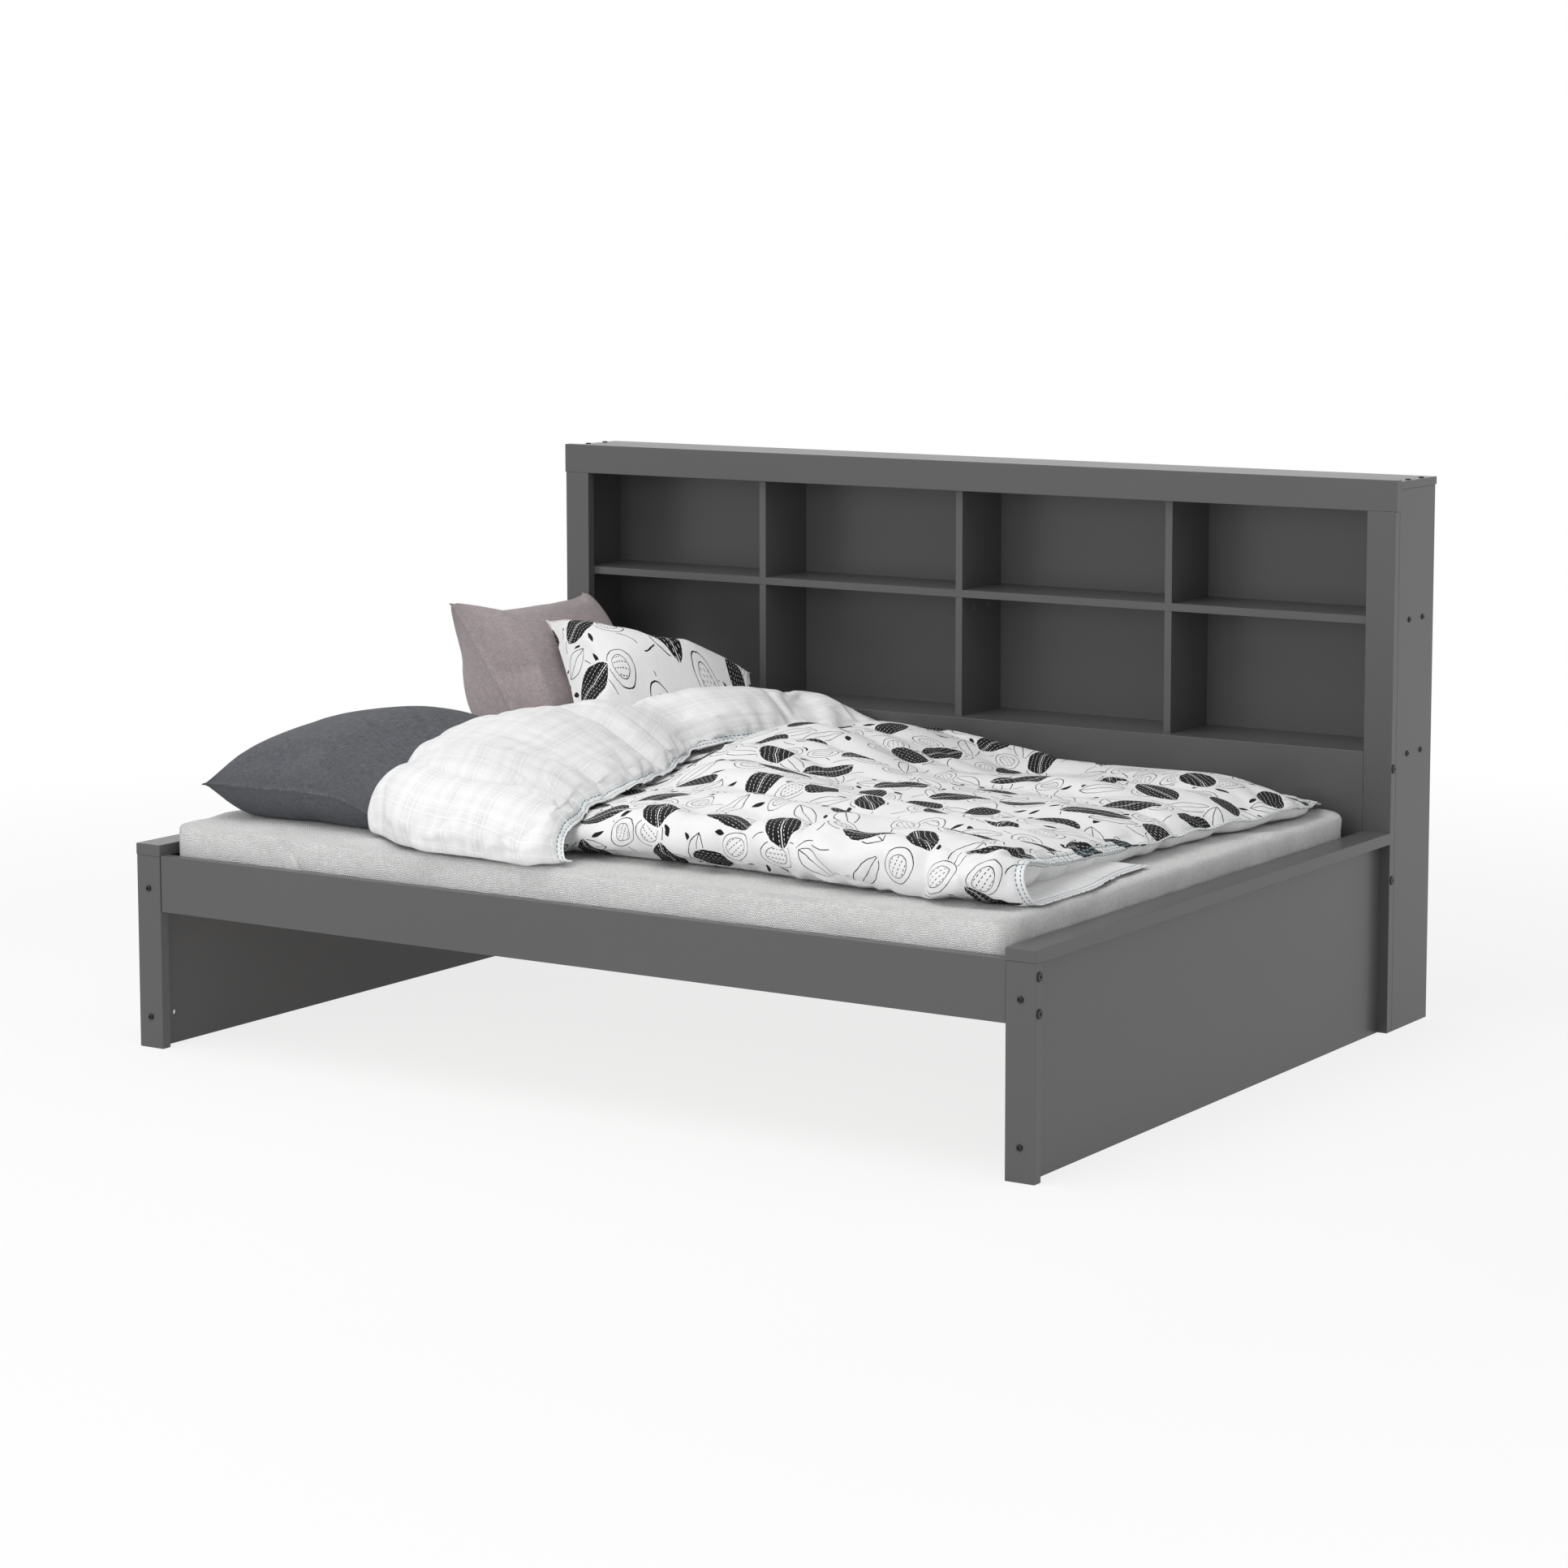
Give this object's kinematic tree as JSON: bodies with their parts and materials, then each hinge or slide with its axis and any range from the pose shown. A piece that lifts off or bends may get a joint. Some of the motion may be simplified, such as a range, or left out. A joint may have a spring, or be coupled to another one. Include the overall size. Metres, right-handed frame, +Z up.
{
  "type": "bookcase headboard bed",
  "caption": "Full-size bed with an open bookcase of shelves and dividers along one long side, solid end panels, a low front rail, slatted base, mattress, pillows and a folded-back duvet.",
  "frame": {"origin": "on the floor, in the middle of the whole object's footprint", "axes": "+X along the bed from head end to foot end, +Y from the open front rail towards the bookcase, +Z up"},
  "size_m": [2.0352, 1.627, 1.112],
  "materials": {
    "paint": "satin paint",
    "bare_wood": "planed, unfinished",
    "zinc_steel": "zinc plated",
    "black_steel": "black, slight sheen",
    "grey_metal": "dull cast grey",
    "webbing": "woven tape",
    "mattress_cover": "knitted cover",
    "sheet_linen": "basket weave linen",
    "slate_linen": "melange linen",
    "mauve_cotton": "plain cotton",
    "printed_cotton": "white cotton with a black pattern",
    "duvet_cotton": "white cotton with a black pattern and a white checked reverse"
  },
  "bodies": {
    "frame": {"left_front_post": "paint", "right_front_post": "paint", "left_end_panel": "paint", "right_end_panel": "paint", "left_end_cap": "paint", "right_end_cap": "paint", "front_rail": "paint", "headboard_panel": "paint", "left_stile": "paint", "right_stile": "paint", "left_side_board": "paint", "right_side_board": "paint", "face_rail": "paint", "top_board": "paint", "middle_shelf": "paint", "bottom_shelf": "paint", "upper_divider_1": "paint", "upper_divider_2": "paint", "upper_divider_3": "paint", "lower_divider_1": "paint", "lower_divider_2": "paint", "lower_divider_3": "paint", "back_panel": "paint", "front_rail_cleat": "bare_wood", "headboard_cleat": "bare_wood", "centre_beam": "bare_wood", "slat_1": "bare_wood", "slat_2": "bare_wood", "slat_3": "bare_wood", "slat_4": "bare_wood", "slat_5": "bare_wood", "slat_6": "bare_wood", "slat_7": "bare_wood", "slat_8": "bare_wood", "slat_9": "bare_wood", "slat_10": "bare_wood", "slat_11": "bare_wood", "slat_12": "bare_wood", "slat_13": "bare_wood", "slat_14": "bare_wood", "dowels": "bare_wood", "beam_hangers": "zinc_steel", "support_screws": "zinc_steel", "barrel_nuts": "zinc_steel", "cam_pins": "zinc_steel", "back_panel_nails": "zinc_steel", "rail_bolts": "black_steel", "panel_bolts": "black_steel", "case_screws": "black_steel", "cam_locks": "grey_metal", "divider_screws": "grey_metal", "slat_straps": "webbing"},
    "bed_mattress": {"mattress": "mattress_cover", "fitted_sheet": "sheet_linen", "dark_pillow": "slate_linen", "mauve_cushion": "mauve_cotton", "print_pillow": "printed_cotton"},
    "bed_duvet": {"duvet": "duvet_cotton"}
  },
  "joints": [
    {"name": "mattress_lift", "type": "slide", "parent": "frame", "child": "bed_mattress", "axis": [0, 0, 1], "range_m": [0, 0.35]},
    {"name": "duvet_lift", "type": "slide", "parent": "bed_mattress", "child": "bed_duvet", "axis": [0, 0, 1], "range_m": [0, 0.3]}
  ]
}
